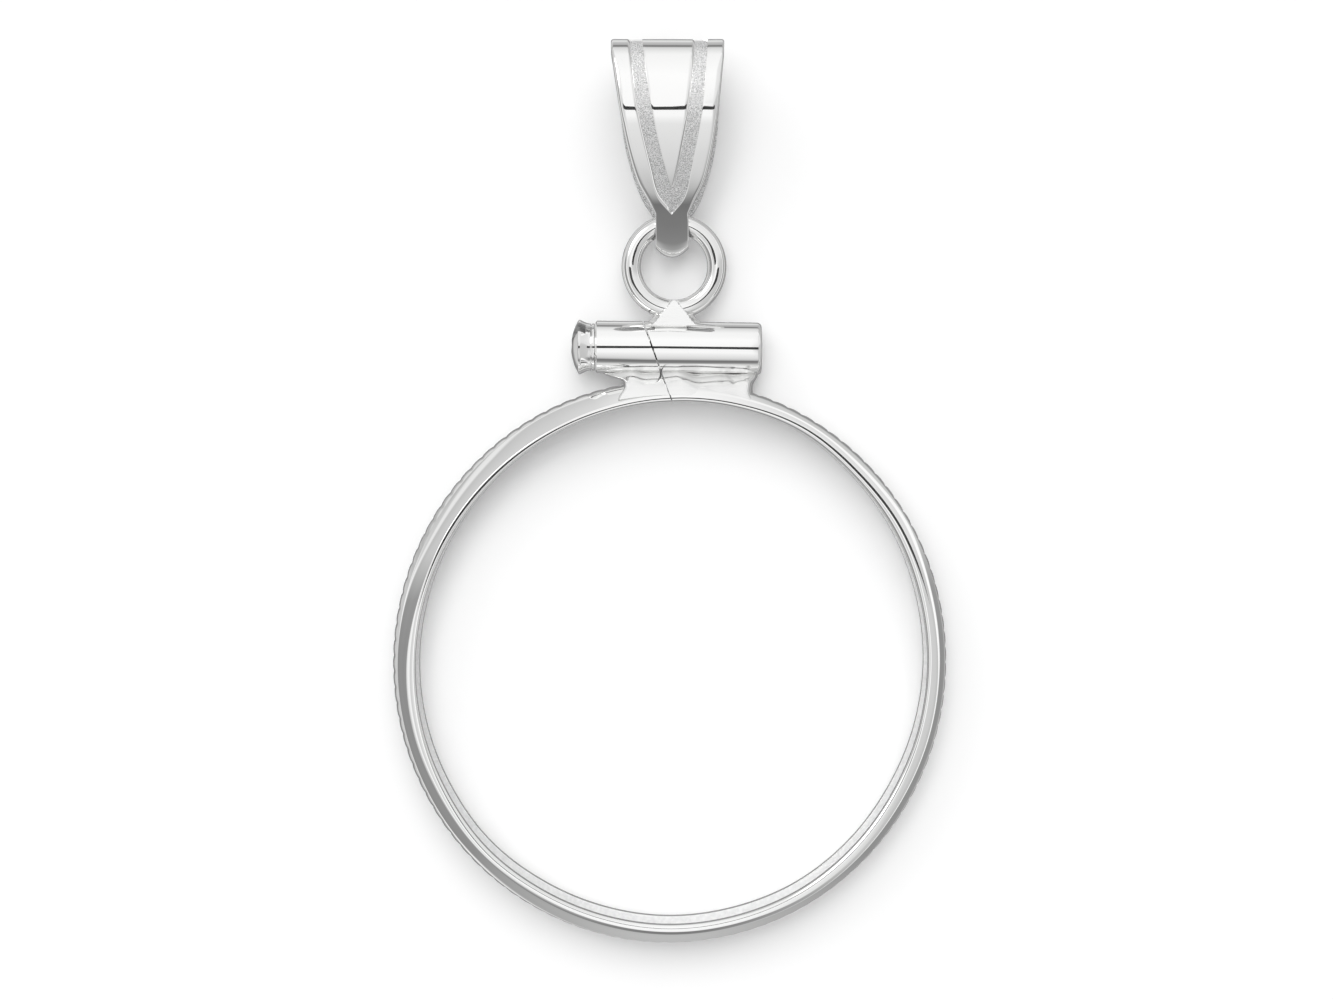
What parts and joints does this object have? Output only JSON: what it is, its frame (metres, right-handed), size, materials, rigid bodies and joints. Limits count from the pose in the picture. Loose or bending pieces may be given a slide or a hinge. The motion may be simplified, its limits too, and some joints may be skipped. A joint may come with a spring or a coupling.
{
  "type": "coin bezel",
  "caption": "Screw-top coin bezel pendant: a grooved ring split at the top, drawn shut by a slotted screw in a soldered barrel, with a wire loop and a folded bail.",
  "frame": {"origin": "centre of the coin window, half way through the ring's thickness", "axes": "+Z along the ring's axis out of its front face, +Y toward the bail, +X to the right as seen from the front"},
  "size_m": [0.0174, 0.0277, 0.0035],
  "materials": {
    "white_gold": "polished"
  },
  "bodies": {
    "frame": {"bezel_frame": "white_gold"},
    "screw": {"clamp_screw": "white_gold"},
    "bail": {"bail": "white_gold"}
  },
  "joints": [
    {"name": "screw_out", "type": "slide", "parent": "frame", "child": "screw", "axis": [-1, 0, 0], "range_m": [0, 0.0043]},
    {"name": "bail_swing", "type": "hinge", "parent": "frame", "child": "bail", "pos_m": [0.00008, 0.01351, 0], "axis": [1, 0, 0], "range_deg": [-88, 108]}
  ]
}
